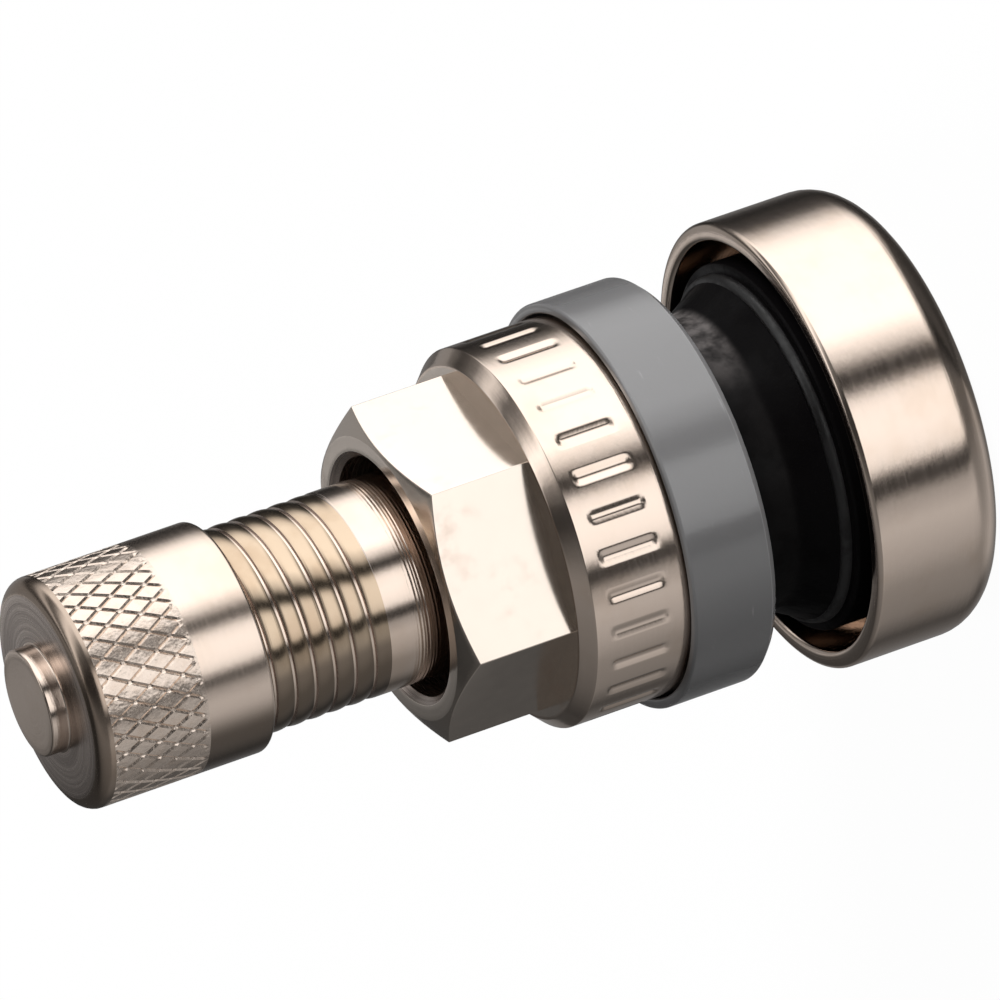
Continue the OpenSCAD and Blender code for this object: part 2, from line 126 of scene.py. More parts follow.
AIR_HOLE_BEVEL = 0.4
MOUTH_BEVEL = 0.3
STEM_COLUMNS = 160

# Sizes of the seal, the ring and the nut, in millimetres
SEAL_BORE_R = 4.2
SEAL_NECK_R = 5.65
SEAL_SHOULDER_R = 6.65
SEAL_SHOULDER_Z = HEAD_H + 0.45
SEAL_FLANGE_Z = HEAD_H + 0.05
SEAL_SLOPE_R = 6.3975
SEAL_EDGE_R = 0.25
SEAL_EDGE_H = 0.36
SEAL_SLOPE_TOP_Z = SEAL_SHOULDER_Z + 1.3
SEAL_SLOPE_BEND_R = 0.5
SEAL_FOOT_EDGE_R = 0.4
SEAL_FLANGE_EDGE_R = 0.15
SEAL_TOP_EDGE_R = 0.2
SEAL_EDGE_STEPS = 10
SEAL_COLUMNS = 144
RING_BORE_R = 4.8
RING_WALL_R = 7.3
RING_FLOOR = 0.95
RING_BEVEL = 0.25
RING_COLUMNS = 160
COLLAR_TOP_Z = 16.6
COLLAR_BEVEL = 0.5
NUT_BORE_R = 4.55
NUT_MOUTH_SINK = 0.25
HEX_FLAT_R = 5.5
HEX_CORNER_ROUND = 0.05
HEX_CHAMFER = math.tan(math.radians(25))
HEX_FACE_R = HEX_FLAT_R - 0.12
HEX_FOOT_Z = COLLAR_TOP_Z - 0.3
LEDGE_LAND = 0.1
LEDGE_INNER_R = NUT_BORE_R + 0.4

# Sizes of the cap, in millimetres
CAP_BORE_R = 3.9
CAP_BORE_TOP_Z = CAP_Z + 5.83
KNURL_Z = CAP_Z + 2.63
KNURL_TOP_Z = CAP_Z + 6.36
KNURL_STARTS = 37
KNURL_GROOVE_DEPTH = 0.06
CROWN_EDGE_Z = CAP_Z + 6.93
CROWN_Z = CAP_Z + 7.03
CROWN_EDGE_R = 0.56
NUB_R = 2.0
NUB_FOOT_R = 0.08

# Common fillets in millimetres, steps in an arc, and the distances in metres that close a mesh
EDGE = 0.1
FINE_EDGE = 0.05
ARC_STEPS = 6
WELD = 2e-7
SLIVER = 1e-8

# Rows in a thread's pitch, shares of half a pitch from the middle of its crest, and places of its finishes
THREAD_STEPS = 20
BODY_THREAD_STEPS = 10
CREST_SHARE = 0.8
ROOT_SHARE = 0.9
CREST_BOW = 0.045
THREAD_RUN_OUT = 0.45
ROOT_FINISH = 0
CREST_FINISH = 1
WALL_FINISH = 2


def rounded(corners, steps=ARC_STEPS):
    """Turns corners (radius, height, fillet) into points, with an arc at each corner that has a fillet."""
    points = []
    for i, (r, z, fillet) in enumerate(corners):
        here = Vector((r, z))
        if fillet == 0 or i in (0, len(corners) - 1):
            points.append((r, z))
            continue
        back = (Vector(corners[i - 1][:2]) - here).normalized()
        ahead = (Vector(corners[i + 1][:2]) - here).normalized()
        half = back.angle(ahead) / 2
        reach = fillet / math.tan(half)
        centre = here + (back + ahead).normalized() * (fillet / math.sin(half))
        start = here + back * reach - centre
        sweep = start.angle_signed(here + ahead * reach - centre)
        for k in range(steps + 1):
            turned = Matrix.Rotation(-sweep * k / steps, 2) @ start
            points.append(tuple(centre + turned))
    return points


def spread(points, gap=None, parts=1):
    """Splits every stretch into pieces no longer than a gap, for even shading, or else into equal parts."""
    filled = [points[0]]
    for (r0, z0), (r1, z1) in zip(points, points[1:]):
        count = parts
        if gap:
            count = max(1, math.ceil(math.hypot(r1 - r0, z1 - z0) / gap))
        filled += [(r0 + (r1 - r0) * k / count, z0 + (z1 - z0) * k / count) for k in range(1, count + 1)]
    return filled


def place(bm, r, angle, z):
    """New vertex at a radius, an angle about the axis and a height, in millimetres."""
    return bm.verts.new((r * math.cos(angle) * MM, r * math.sin(angle) * MM, z * MM))


def skin(bm, rows, material=0, closed=False):
    """Joins rings of vertices, each with as many as the next, into quads."""
    pairs = list(zip(rows, rows[1:]))
    if closed:
        pairs.append((rows[-1], rows[0]))
    for low, high in pairs:
        count = len(low)
        for j in range(count):
            after = (j + 1) % count
            corners = []
            for vert in (low[j], low[after], high[after], high[j]):
                if vert not in corners:
                    corners.append(vert)
            if len(corners) > 2:
                bm.faces.new(corners).material_index = material


def lathe(bm, profile, columns, material=0, closed=False, offset=None):
    """Turns a profile of (radius, height) about the axis; offset shifts it at a column, radius and height."""
    rows = []
    for r, z in profile:
        if r == 0:
            tip = place(bm, 0, 0, z)
            rows.append([tip] * columns)
            continue
        ring = []
        for j in range(columns):
            shift = offset(j, r, z) if offset else 0
            ring.append(place(bm, r + shift, 2 * math.pi * j / columns, z))
        rows.append(ring)
    skin(bm, rows, material, closed)


def smooth_step(x):
    """0 up to 0 and 1 from 1 on, with a soft step between."""
    x = min(1, max(0, x))
    return x * x * (3 - 2 * x)


def thread_drop(across, depth):
    """How far a thread lies below its crest; across is 0 at the crest's middle and 1 at the root's."""
    if across <= CREST_SHARE:
        return CREST_BOW * (across / CREST_SHARE) ** 2
    wall = min(1, (across - CREST_SHARE) / (ROOT_SHARE - CREST_SHARE))
    return CREST_BOW + (depth - CREST_BOW) * wall


def helix(bm, radius, pitch, z_low, z_high, turn, steps):
    """Right-hand thread with broad crests and narrow roots; its rows follow the winding from an angle."""
    columns = STEM_COLUMNS
    depth = THREAD_DEPTH_SHARE * pitch
    first_z = z_low - THREAD_LAP - pitch * (1 + turn / 360)
    turns = math.ceil((z_high - first_z) / pitch) + 1
    grid = []
    for i in range(turns * steps + 1):
        row = []
        across = abs(2 * (i % steps) / steps - 1)
        for j in range(columns):
            z = first_z + pitch * (i / steps + j / columns)
            starts = smooth_step((z - z_low) / THREAD_RUN_OUT)
            ends = smooth_step((z_high - z) / THREAD_RUN_OUT)
            r = radius - thread_drop(across, depth) * (starts * ends)
            row.append(place(bm, r, 2 * math.pi * j / columns, min(z_high, max(z_low, z))))
        grid.append(row)
    for i in range((turns - 1) * steps):
        middle = abs(2 * (i % steps + 0.5) / steps - 1)
        material = CREST_FINISH
        if middle > CREST_SHARE:
            material = ROOT_FINISH if middle > ROOT_SHARE else WALL_FINISH
        for j in range(columns):
            if j + 1 < columns:
                right_low, right_high = grid[i][j + 1], grid[i + 1][j + 1]
            else:
                right_low, right_high = grid[i + steps][0], grid[i + 1 + steps][0]
            corners = (grid[i][j], right_low, right_high, grid[i + 1][j])
            bm.faces.new(corners).material_index = material


def finish_mesh(bm, name, materials, sharp_degrees=35):
    """Welds the mesh, smooths it up to an angle and returns it as an object with its materials."""
    bmesh.ops.remove_doubles(bm, verts=bm.verts, dist=WELD)
    bmesh.ops.dissolve_degenerate(bm, edges=bm.edges, dist=SLIVER)
    loose = [v for v in bm.verts if not v.link_faces]
    bmesh.ops.delete(bm, geom=loose, context="VERTS")
    bmesh.ops.recalc_face_normals(bm, faces=bm.faces)
    mesh = bpy.data.meshes.new(name)
    bm.to_mesh(mesh)
    bm.free()
    mesh.shade_smooth()
    mesh.set_sharp_from_angle(angle=math.radians(sharp_degrees))
    piece = bpy.data.objects.new(name, mesh)
    bpy.context.collection.objects.link(piece)
    for material in materials:
        mesh.materials.append(material)
    return piece


# Shader expressions
class Wire:
    """A node's output that takes part in Python arithmetic."""

    def __init__(self, tree, socket):
        self.tree = tree
        self.socket = socket

    def math(self, operation, *values):
        return add_node(self.tree, "ShaderNodeMath", {"operation": operation}, dict(enumerate(values)))

    def __add__(self, other):
        return self.math("ADD", self, other)

    def __radd__(self, other):
        return self.math("ADD", other, self)

    def __sub__(self, other):
        return self.math("SUBTRACT", self, other)

    def __rsub__(self, other):
        return self.math("SUBTRACT", other, self)

    def __mul__(self, other):
        return self.math("MULTIPLY", self, other)

    def __rmul__(self, other):
        return self.math("MULTIPLY", other, self)

    def __truediv__(self, other):
        return self.math("DIVIDE", self, other)

    def __pow__(self, other):
        return self.math("POWER", self, other)


def add_node(tree, kind, settings=None, sockets=None, output=0):
    """Adds a node, sets its settings and then its sockets' values or links, and returns an output, if any."""
    node = tree.nodes.new(kind)
    for name, value in (settings or {}).items():
        if name == "stops":
            set_stops(node.color_ramp, value)
        else:
            setattr(node, name, value)
    for key, value in (sockets or {}).items():
        if isinstance(value, Wire):
            tree.links.new(value.socket, node.inputs[key])
        else:
            node.inputs[key].default_value = value
    return Wire(tree, node.outputs[output]) if node.outputs else None


def set_stops(ramp, stops):
    """Gives a ramp its stops, as (position, grey) pairs."""
    while len(ramp.elements) < len(stops):
        ramp.elements.new(1.0)
    for element, (position, grey) in zip(ramp.elements, stops):
        element.position = position
        element.color = (grey, grey, grey, 1)


def step_between(wire, start, full):
    """0 up to a start and 1 from a full value on, with a soft step between; either may be the larger."""
    return add_node(wire.tree, "ShaderNodeMapRange", {"interpolation_type": "SMOOTHSTEP"},
                    {"Value": wire, "From Min": start, "From Max": full})


# Sockets of a Mix node that mixes colours
MIX_FACTOR = 0
MIX_A = 6
MIX_B = 7
MIX_RESULT = 2


def tint(factor, colour_a, colour_b):
    """Colour a where the factor is 0 and colour b where it is 1; each is a tuple or a wire."""
    ends = [colour if isinstance(colour, Wire) else (*colour, 1) for colour in (colour_a, colour_b)]
    sockets = {MIX_FACTOR: factor, MIX_A: ends[0], MIX_B: ends[1]}
    return add_node(factor.tree, "ShaderNodeMix", {"data_type": "RGBA"}, sockets, output=MIX_RESULT)


class Finish:
    """One material: its shader, and the coordinates and noises that its functions share."""

    def __init__(self, name, **constants):
        self.material = bpy.data.materials.new(name)
        self.material.use_nodes = True
        self.tree = self.material.node_tree
        self.shader = self.tree.nodes["Principled BSDF"]
        for socket, value in constants.items():
            label = socket.replace("_", " ").title().replace("Ior", "IOR")
            self.shader.inputs[label].default_value = value
        self.where = add_node(self.tree, "ShaderNodeTexCoord", output="Object")

    def along(self, axis):
        """Place on the object along one axis, X, Y or Z."""
        return add_node(self.tree, "ShaderNodeSeparateXYZ", None, {0: self.where}, output=axis)

    def rise(self, axis, start, full):
        """0 up to a start and 1 from a full place on, both in millimetres along an axis."""
        return step_between(self.along(axis), start * MM, full * MM)

    def noise(self, vector, scale, detail, roughness):
        """Noise about 0.5, with a number of waves to a unit of the vector."""
        return add_node(self.tree, "ShaderNodeTexNoise", None,
                        {"Vector": vector, "Scale": scale, "Detail": detail, "Roughness": roughness})

    def stretched(self, slow, quick):
        """Coordinates for marks that a lathe leaves: slow around the axis, quick along the profile."""
        x, y, z = [self.along(axis) for axis in "XYZ"]
        radius = (x * x + y * y) ** 0.5
        sockets = {"X": x * slow, "Y": y * slow, "Z": (z + 0.7 * radius) * quick}
        return add_node(self.tree, "ShaderNodeCombineXYZ", None, sockets)

    def set(self, socket, wire):
        self.tree.links.new(wire.socket, self.shader.inputs[socket])

    def bump(self, height, distance):
        normal = add_node(self.tree, "ShaderNodeBump", None,
                          {"Height": height, "Distance": distance, "Strength": 1.0})
        self.set("Normal", normal)


# Colours of the plating and of the painted shade on its low side, and where that painted shade starts and is
# darkest, in millimetres along x
PLATE_LIGHT = (0.86, 0.715, 0.61)
PLATE_WARM = (0.81, 0.655, 0.54)
PAINTED_SHADE_BROWN = (0.22, 0.175, 0.14)
CREST_LIGHT = (0.64, 0.50, 0.365)
CREST_WARM = (0.56, 0.42, 0.295)
CROWN_LIGHT = (0.50, 0.40, 0.325)
CROWN_WARM = (0.455, 0.35, 0.275)
KNURL_LIGHT = (0.83, 0.705, 0.61)
KNURL_WARM = (0.77, 0.635, 0.535)
FACE_LIGHT = (0.70, 0.60, 0.54)
FACE_DARK = (0.50, 0.42, 0.375)
FLAT_LIGHT = (0.93, 0.815, 0.715)
FLAT_STAIN = (0.85, 0.71, 0.61)
BAND_PAINTED_SHADE_SIDE = (-1.9, -3.0)
CREST_PAINTED_SHADE_SIDE = (-0.9, -1.8)

# Colours of the other materials, and where the seal has dust with painted light and is dull, and where the
# ring has a painted highlight, in millimetres
RUBBER_BLACK = (0.0014, 0.0012, 0.0013)
RUBBER_DUST_AND_PAINTED_LIGHT = (0.105, 0.095, 0.092)
DUST_AND_PAINTED_LIGHT_SIDE = (2.8, 5.5)
DULL_SIDE = (1.5, -4.5)
DUST_AND_PAINTED_LIGHT_NECK = (SEAL_SLOPE_TOP_Z - 0.25, SEAL_SLOPE_TOP_Z + 0.15)
PLASTIC_DARK = (0.106, 0.104, 0.105)
PLASTIC_PALE = (0.195, 0.192, 0.194)
PAINTED_EDGE_HIGHLIGHT = (RING_Z + 0.24, RING_Z + 0.30)
BRASS_LIGHT = (0.80, 0.58, 0.27)
BRASS_DULL = (0.58, 0.38, 0.16)
RED_DARK = (0.33, 0.035, 0.028)
RED_PALE = (0.45, 0.06, 0.045)
WIRE_DARK = (0.50, 0.50, 0.51)
WIRE_PALE = (0.66, 0.66, 0.68)


def turned_plate(name, dullness, light=PLATE_LIGHT, warm=PLATE_WARM, painted_shade_strength=0.0):
    """Warm plating over turned metal: fine rings from the lathe, soft blotches, and painted shade that
    darkens the low side.
    """
    finish = Finish(name, metallic=1.0)
    rings = finish.noise(finish.stretched(260, 22000), 1.0, 3.0, 0.6)
    long_rings = finish.noise(finish.stretched(60, 9000), 1.0, 2.0, 0.5)
    blotch = step_between(finish.noise(finish.where, 420, 3.0, 0.55), 0.45, 0.75)
    # Painted shade: the low side, towards -x, is tinted towards a dark brown
    darker = painted_shade_strength * finish.rise("X", *BAND_PAINTED_SHADE_SIDE)
    finish.set("Base Color", tint(darker, tint(blotch, light, warm), PAINTED_SHADE_BROWN))
    finish.set("Roughness", dullness + 0.08 * rings + 0.05 * long_rings)
    ragged = finish.noise(finish.stretched(2000, 6000), 1.0, 2.0, 0.5)
    finish.bump(rings + 0.8 * long_rings + 1.3 * ragged, 2.2e-6)
    return finish.material


def threaded_plate():
    """Duller plating on the thread's crests, as the rolling left it, with painted shade that darkens the low
    side.
    """
    finish = Finish("threaded_plate", metallic=1.0)
    rings = finish.noise(finish.stretched(200, 16000), 1.0, 3.0, 0.6)
    blotch = step_between(finish.noise(finish.where, 600, 3.0, 0.55), 0.4, 0.75)
    # Painted shade: the crests' low side, towards -x, is tinted towards a dark brown
    darker = 0.85 * finish.rise("X", *CREST_PAINTED_SHADE_SIDE)
    finish.set("Base Color", tint(darker, tint(blotch, CREST_LIGHT, CREST_WARM), PAINTED_SHADE_BROWN))
    finish.set("Roughness", 0.08 + 0.10 * rings)
    finish.bump(rings, 2.5e-6)
    return finish.material


def faced_plate():
    """Plating over a faced end: rings around the axis, some of them dull."""
    finish = Finish("faced_plate", metallic=1.0)
    rings = finish.noise(finish.stretched(90, 9500), 1.0, 2.0, 0.55)
    fine = finish.noise(finish.stretched(300, 30000), 1.0, 2.0, 0.5)
    finish.set("Base Color", tint(step_between(rings, 0.35, 0.65), FACE_DARK, FACE_LIGHT))
    finish.set("Roughness", 0.22 + 0.12 * fine)
    finish.bump(rings + 0.3 * fine, 5e-6)
    return finish.material


def smooth_plate():
    """Warm plating over drawn flats: no rings, faint stains and small dents."""
    finish = Finish("smooth_plate", metallic=1.0)
    wide = finish.noise(finish.where, 330, 3.0, 0.6)
    specks = finish.noise(finish.where, 1500, 2.0, 0.5)
    stain = step_between(wide, 0.55, 0.72) * step_between(specks, 0.35, 0.7)
    finish.set("Base Color", tint(stain, FLAT_LIGHT, FLAT_STAIN))
    finish.set("Roughness", 0.12 + 0.08 * specks + 0.06 * stain)
    finish.bump(wide + 0.25 * specks, 6e-6)
    return finish.material


def knurled_plate():
    """Warm plating over pressed diamonds, a little uneven from the knurling wheel."""
    finish = Finish("knurled_plate", metallic=1.0)
    dents = finish.noise(finish.where, 2600, 2.0, 0.55)
    grain = finish.noise(finish.where, 9000, 2.0, 0.5)
    finish.set("Base Color", tint(step_between(dents, 0.4, 0.75), KNURL_LIGHT, KNURL_WARM))
    finish.set("Roughness", 0.17 + 0.16 * grain)
    finish.bump(dents + 0.25 * grain, 2.4e-5)
    return finish.material


def black_rubber(name, sheen, dullness):
    """Moulded rubber: near black, fine-grained, with pale dust patches on the neck that also carry painted
    light on its lit side, and dull on the other side.
    """
    finish = Finish(name, specular_ior_level=sheen)
    grain = finish.noise(finish.where, 6500, 3.0, 0.6)
    dust_patch = step_between(finish.noise(finish.where, 520, 4.0, 0.65), 0.3, 0.7)
    # Dust and painted light: the pale patches are kept to the lit side of the neck, where they also paint the
    # light that falls there
    dust_and_painted_light = dust_patch * (0.03 + 0.97 * finish.rise("X", *DUST_AND_PAINTED_LIGHT_SIDE)) * finish.rise("Z", *DUST_AND_PAINTED_LIGHT_NECK)
    finish.set("Base Color", tint(dust_and_painted_light, RUBBER_BLACK, RUBBER_DUST_AND_PAINTED_LIGHT))
    dull_patch = step_between(finish.noise(finish.where, 800, 3.0, 0.6), 0.42, 0.62)
    worn = 0.20 * dull_patch + 0.26 * finish.rise("X", *DULL_SIDE)
    finish.set("Roughness", dullness + 0.15 * dust_and_painted_light + 0.08 * grain + worn)
    finish.bump(grain, 9e-6)
    return finish.material


def grey_plastic():
    """Moulded grey plastic with a sheen, fine grain, a painted highlight along the lower edge and a few pale
    scuffs.
    """
    finish = Finish("grey_plastic", ior=1.75)
    grain = finish.noise(finish.where, 5200, 3.0, 0.6)
    cloud = finish.noise(finish.where, 260, 3.0, 0.5)
    scuff = step_between(finish.noise(finish.stretched(420, 2600), 1.0, 3.0, 0.6), 0.66, 0.8)
    # Painted highlight: the lower edge and its bevel are tinted pale
    edge = 1 - finish.rise("Z", *PAINTED_EDGE_HIGHLIGHT)
    finish.set("Base Color", tint(edge * 0.8 + scuff * cloud, PLASTIC_DARK, PLASTIC_PALE))
    finish.set("Roughness", 0.05 + 0.05 * cloud + 0.03 * grain)
    finish.bump(grain + 0.5 * cloud, 3e-6)
    return finish.material


def turned_brass():
    """Bare brass of the core, with lathe rings and dull patches."""
    finish = Finish("turned_brass", metallic=1.0)
    rings = finish.noise(finish.stretched(300, 18000), 1.0, 3.0, 0.6)
    dull = step_between(finish.noise(finish.where, 700, 3.0, 0.6), 0.45, 0.75)
    finish.set("Base Color", tint(dull, BRASS_LIGHT, BRASS_DULL))
    finish.set("Roughness", 0.22 + 0.12 * rings + 0.1 * dull)
    finish.bump(rings, 3e-6)
    return finish.material


def red_rubber():
    """Red rubber of the core's gasket, matt and finely grained."""
    finish = Finish("red_rubber", ior=1.5)
    grain = finish.noise(finish.where, 7000, 3.0, 0.6)
    patch = finish.noise(finish.where, 900, 3.0, 0.6)
    finish.set("Base Color", tint(patch, RED_DARK, RED_PALE))
    finish.set("Roughness", 0.5 + 0.2 * grain)
    finish.bump(grain, 8e-6)
    return finish.material


def drawn_wire():
    """Steel spring wire, with fine drawing marks."""
    finish = Finish("drawn_wire", metallic=1.0)
    marks = finish.noise(finish.where, 9000, 3.0, 0.6)
    finish.set("Base Color", tint(marks, WIRE_DARK, WIRE_PALE))
    finish.set("Roughness", 0.24 + 0.16 * marks)
    finish.bump(marks, 2e-6)
    return finish.material


# Finishes of the pieces
PLATE = turned_plate("turned_plate", 0.07)
# The band's low side is darkened with painted shade
BAND = turned_plate("brushed_plate", 0.13, painted_shade_strength=0.9)
CROWN = turned_plate("crown_plate", 0.13, CROWN_LIGHT, CROWN_WARM)
THREAD = threaded_plate()
FACED = faced_plate()
FLATS = smooth_plate()
KNURL = knurled_plate()
RUBBER = black_rubber("black_rubber", 0.07, 0.27)
RUBBED = black_rubber("rubbed_rubber", 0.8, 0.30)
PLASTIC = grey_plastic()
BRASS = turned_brass()
RED = red_rubber()
WIRE = drawn_wire()


# Stem: cup head, neck, two threads and the passage
SHANK_RING_PITCH = 0.13
SHANK_RING_DEPTH = 0.006
SHANK_RING_STEPS = 8
SHANK_RINGS_Z = NUT_TOP_Z - 0.4
SHANK_RINGS_TOP_Z = NUT_TOP_Z + 1.2
SHANK_RINGS_FADE = 0.8


def shank_rings():
    """Fine rings that the tool left on the shank beside the nut, fading towards the thread."""
    length = SHANK_RINGS_TOP_Z - SHANK_RINGS_Z
    count = round(length / SHANK_RING_PITCH * SHANK_RING_STEPS)
    points = []
    for k in range(count + 1):
        z = SHANK_RINGS_Z + length * k / count
        turns = 2 * math.pi * (z - SHANK_RINGS_Z) / SHANK_RING_PITCH
        wave = 0.5 - 0.3 * math.cos(turns) - 0.2 * math.cos(0.618 * turns)
        fade = smooth_step((SHANK_RINGS_TOP_Z - z) / SHANK_RINGS_FADE)
        points.append((MOUTH_THREAD_R - SHANK_RING_DEPTH * wave * fade, z))
    return points


def make_stem():
    bm = bmesh.new()
    cup_r = HEAD_R - HEAD_WALL
    body_low = RING_Z + BODY_THREAD_BEVEL
    body_high = BODY_THREAD_TOP_Z - BODY_THREAD_BEVEL
    body_thread_low = body_low + THREAD_END_LAND
    body_thread_high = body_high - THREAD_END_LAND
    mouth_high = MOUTH_Z - MOUTH_THREAD_BEVEL
    mouth_thread_high = mouth_high - THREAD_END_LAND
    head_and_neck = rounded([
        (AIR_HOLE_R + AIR_HOLE_BEVEL, 0, 0), (HEAD_R, 0, HEAD_EDGE_R), (HEAD_R, HEAD_H, HEAD_RIM_R),
        (cup_r, HEAD_H, HEAD_RIM_INNER_R), (cup_r, HEAD_FLOOR, CUP_CORNER_R), (NECK_R, HEAD_FLOOR, EDGE),
        (NECK_R, BODY_THREAD_FOOT_Z, EDGE), (BODY_THREAD_R, body_low, 0),
        (BODY_THREAD_R, body_thread_low, 0)], steps=10)
    lathe(bm, spread(head_and_neck, gap=0.45), STEM_COLUMNS)
    helix(bm, BODY_THREAD_R, BODY_THREAD_PITCH, body_thread_low, body_thread_high,
          turn=0, steps=BODY_THREAD_STEPS)
    shank = rounded([
        (BODY_THREAD_R, body_thread_high, 0), (BODY_THREAD_R, body_high, FINE_EDGE),
        (BODY_THREAD_R - BODY_THREAD_BEVEL, BODY_THREAD_TOP_Z, EDGE),
        (MOUTH_THREAD_R, BODY_THREAD_TOP_Z, EDGE), (MOUTH_THREAD_R, SHANK_RINGS_Z, 0)])
    thread_foot = [(MOUTH_THREAD_R, MOUTH_THREAD_Z)]
    lathe(bm, spread(shank, gap=0.45) + shank_rings() + thread_foot, STEM_COLUMNS)
    helix(bm, MOUTH_THREAD_R, MOUTH_THREAD_PITCH, MOUTH_THREAD_Z, mouth_thread_high,
          turn=MOUTH_THREAD_TURN, steps=THREAD_STEPS)
    passage = rounded([
        (MOUTH_THREAD_R, mouth_thread_high, 0), (MOUTH_THREAD_R, mouth_high, FINE_EDGE),
        (MOUTH_THREAD_R - MOUTH_THREAD_BEVEL, MOUTH_Z, 0.08), (PLUG_BORE_R + MOUTH_BEVEL, MOUTH_Z, FINE_EDGE),
        (PLUG_BORE_R, MOUTH_Z - MOUTH_BEVEL, FINE_EDGE), (PLUG_BORE_R, SEAT_TOP_Z, EDGE),
        (CHAMBER_R, SEAT_Z, EDGE), (CHAMBER_R, CHAMBER_Z, EDGE), (AIR_HOLE_R, CHAMBER_Z - CHAMBER_CONE, EDGE),
        (AIR_HOLE_R, AIR_HOLE_BEVEL, FINE_EDGE), (AIR_HOLE_R + AIR_HOLE_BEVEL, 0, 0)], steps=4)
    lathe(bm, spread(passage, gap=1.2), STEM_COLUMNS)
    piece = finish_mesh(bm, "plated_stem", [PLATE, THREAD, FACED])
    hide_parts("valve_stem")
    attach(piece, "stem")


# Rim seal: flange in the head, shoulder with a rubbed edge, and neck
def make_seal():
    bm = bmesh.new()
    foot = rounded([
        (SEAL_BORE_R, SEAL_FOOT_Z, 0), (SEAL_R, SEAL_FOOT_Z, SEAL_FOOT_EDGE_R),
        (SEAL_R, SEAL_FLANGE_Z, SEAL_FLANGE_EDGE_R), (SEAL_SHOULDER_R, SEAL_FLANGE_Z, 0.02),
        (SEAL_SHOULDER_R, SEAL_SHOULDER_Z - SEAL_EDGE_H, 0)], steps=8)
    edge = []
    for k in range(SEAL_EDGE_STEPS + 1):
        turn = math.radians(90 * k / SEAL_EDGE_STEPS)
        r = SEAL_SHOULDER_R - SEAL_EDGE_R * (1 - math.cos(turn))
        edge.append((r, SEAL_SHOULDER_Z - SEAL_EDGE_H * (1 - math.sin(turn))))
    neck = rounded([
        (SEAL_SHOULDER_R - SEAL_EDGE_R, SEAL_SHOULDER_Z, 0), (SEAL_SLOPE_R, SEAL_SHOULDER_Z, 0.02),
        (SEAL_NECK_R, SEAL_SLOPE_TOP_Z, SEAL_SLOPE_BEND_R), (SEAL_NECK_R, SEAL_TOP_Z, SEAL_TOP_EDGE_R),
        (SEAL_BORE_R, SEAL_TOP_Z, 0), (SEAL_BORE_R, SEAL_FOOT_Z, 0)], steps=8)
    finishes = [RUBBER, RUBBED]
    lathe(bm, spread(foot, gap=0.3), SEAL_COLUMNS)
    lathe(bm, edge, SEAL_COLUMNS, finishes.index(RUBBED))
    lathe(bm, spread(neck, gap=0.3), SEAL_COLUMNS)
    piece = finish_mesh(bm, "rubber_seal", finishes)
    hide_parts("rim_seal")
    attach(piece, "stem")


# Pressure ring: floor with a thin wall around the collar
def make_ring():
    bm = bmesh.new()
    floor_z = RING_Z + RING_FLOOR
    section = rounded([
        (RING_BORE_R, RING_Z, 0), (RING_R - RING_BEVEL, RING_Z, 0.06), (RING_R, RING_Z + RING_BEVEL, 0.08),
        (RING_R, RING_TOP_Z, 0.12), (RING_WALL_R, RING_TOP_Z, EDGE), (RING_WALL_R, floor_z, 0.15),
        (RING_BORE_R, floor_z, 0)])
    lathe(bm, spread(section, gap=0.3), RING_COLUMNS, closed=True)
    piece = finish_mesh(bm, "plastic_ring", [PLASTIC])
    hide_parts("pressure_ring")
    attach(piece, "ring")


# Clamp nut: collar with a row of plain stamped bars, and a hexagon with a chamfered end
BAR_COUNT = 30
BAR_COLUMNS = 12
BAR_LOW_Z = 13.2
BAR_HIGH_Z = 15.5
BAR_DEPTH = 0.09
BAR_SHAPE = (1.0, 0.85)
BAR_END_FADE = 0.15
SIDE_TOLERANCE = 0.01
HEX_SECTOR = math.pi / 3
HEX_SHARES = [0, 0.0015, 0.003, 0.005, 0.012, 0.03, 0.07, 0.14, 0.22, 0.31, 0.40]
HEX_PARTS = 3
MOUTH_ROWS = 24


def stroke(column, spacing, shape):
    """Share of a stroke's depth at a column; strokes lie a spacing apart and have a shape by columns."""
    near = min(column % spacing, spacing - column % spacing)
    return shape[near] if near < len(shape) else 0.0


def bar_offset(column, r, z):
    """How far the collar's side is pressed in at a stamped bar."""
    if r < COLLAR_R - SIDE_TOLERANCE:
        return 0
    across = stroke(column, BAR_COLUMNS, BAR_SHAPE)
    along = smooth_step((z - BAR_LOW_Z) / BAR_END_FADE) * smooth_step((BAR_HIGH_Z - z) / BAR_END_FADE)
    return -BAR_DEPTH * across * along


def hex_radius(angle):
    """Radius of the hexagon's outline, with its corners slightly rounded; a corner lies at angle 0."""
    half = HEX_SECTOR / 2
    from_corner = abs((angle + half) % HEX_SECTOR - half)
    flat = HEX_FLAT_R / math.cos(half - from_corner)
    centre = (HEX_FLAT_R - HEX_CORNER_ROUND) / math.cos(half)
    inside = HEX_CORNER_ROUND ** 2 - (centre * math.sin(from_corner)) ** 2
    if inside < 0:
        return flat
    bow = centre * math.cos(from_corner) + math.sqrt(inside)
    return min(flat, bow)


def hex_angles():
    """Angles around the hexagon, close together at its corners."""
    around = HEX_SHARES + [0.5] + [1 - share for share in reversed(HEX_SHARES[1:])]
    return [HEX_SECTOR * (corner + share) for corner in range(6) for share in around]


def hex_section(angle):
    """Half section of the hexagon at one angle: bore, mouth, top face, chamfer and flat."""
    r = hex_radius(angle)
    drop = (r - HEX_FACE_R) * HEX_CHAMFER
    return rounded([
        (NUT_BORE_R, HEX_FOOT_Z, 0), (NUT_BORE_R, NUT_TOP_Z - NUT_MOUTH_SINK, 0.03),
        (NUT_BORE_R + NUT_MOUTH_SINK, NUT_TOP_Z, 0.04), (HEX_FACE_R, NUT_TOP_Z, 0.03),
        (r, NUT_TOP_Z - drop, FINE_EDGE), (r, HEX_FOOT_Z, 0)], steps=4)


